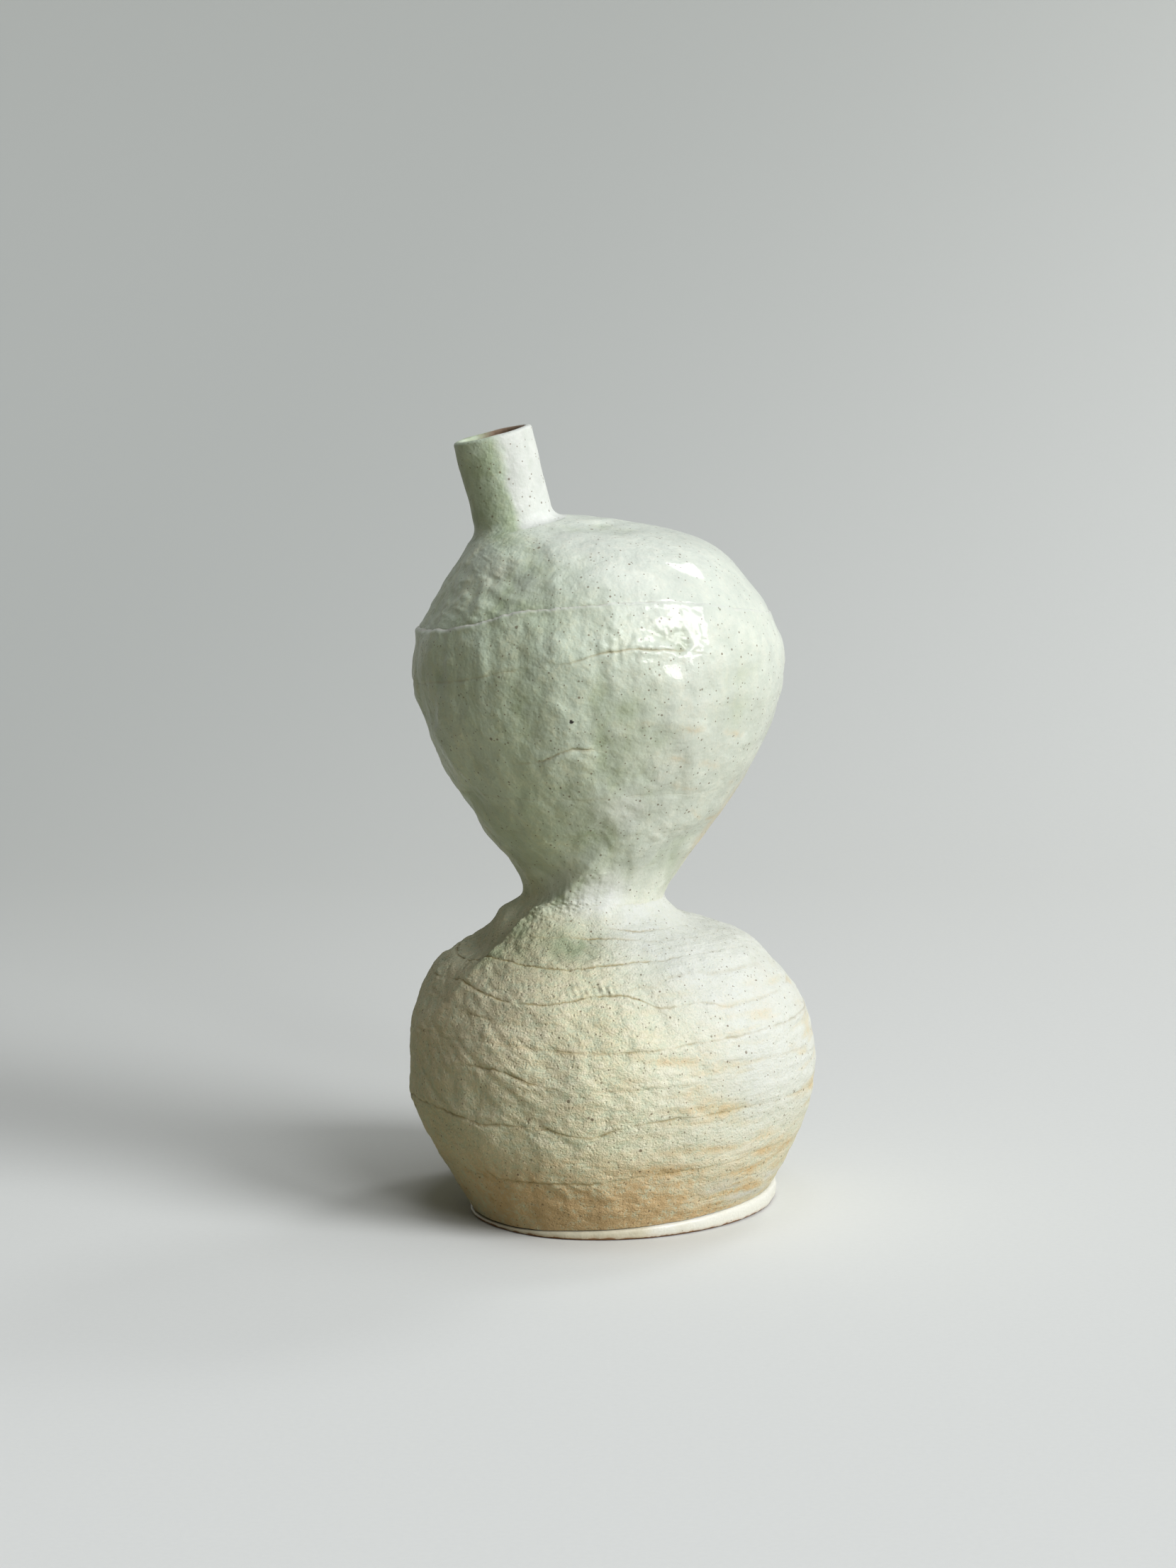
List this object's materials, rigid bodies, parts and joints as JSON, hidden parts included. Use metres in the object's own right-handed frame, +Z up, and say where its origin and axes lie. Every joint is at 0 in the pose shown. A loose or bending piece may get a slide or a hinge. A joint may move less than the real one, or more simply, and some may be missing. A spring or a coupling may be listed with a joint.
{
  "type": "hourglass vase",
  "caption": "Hand-built stoneware vase of two stacked bulbs with a pinched waist, a flat foot and a short leaning spout for a few stems.",
  "frame": {"origin": "middle of the foot's flat underside, where the vase stands", "axes": "+Z up through the two bulbs; -X is the side that the spout leans to; -Y is the side that faces the viewer"},
  "size_m": [0.183, 0.1868, 0.3487],
  "materials": {
    "white_glaze": "glossy white glaze over the slab's edge, bare clay under the foot",
    "toasted_glaze": "thin glaze broken to toasted tan",
    "sandy_glaze": "dry sandy green-grey glaze with scraped texture",
    "celadon_glaze": "soft gloss pale celadon with iron specks"
  },
  "bodies": {
    "root": {"foot_slab": "white_glaze", "lower_coil_1": "toasted_glaze", "lower_coil_2": "sandy_glaze", "lower_coil_3": "sandy_glaze", "lower_coil_4": "sandy_glaze", "lower_coil_5": "sandy_glaze", "lower_coil_6": "sandy_glaze", "lower_coil_7": "sandy_glaze", "lower_coil_8": "sandy_glaze", "lower_coil_9": "sandy_glaze", "upper_coil_1": "celadon_glaze", "upper_coil_2": "celadon_glaze", "upper_coil_3": "celadon_glaze", "upper_coil_4": "celadon_glaze", "upper_coil_5": "celadon_glaze", "upper_coil_6": "celadon_glaze", "upper_coil_7": "celadon_glaze", "crown": "celadon_glaze", "spout": "celadon_glaze"}
  },
  "joints": []
}
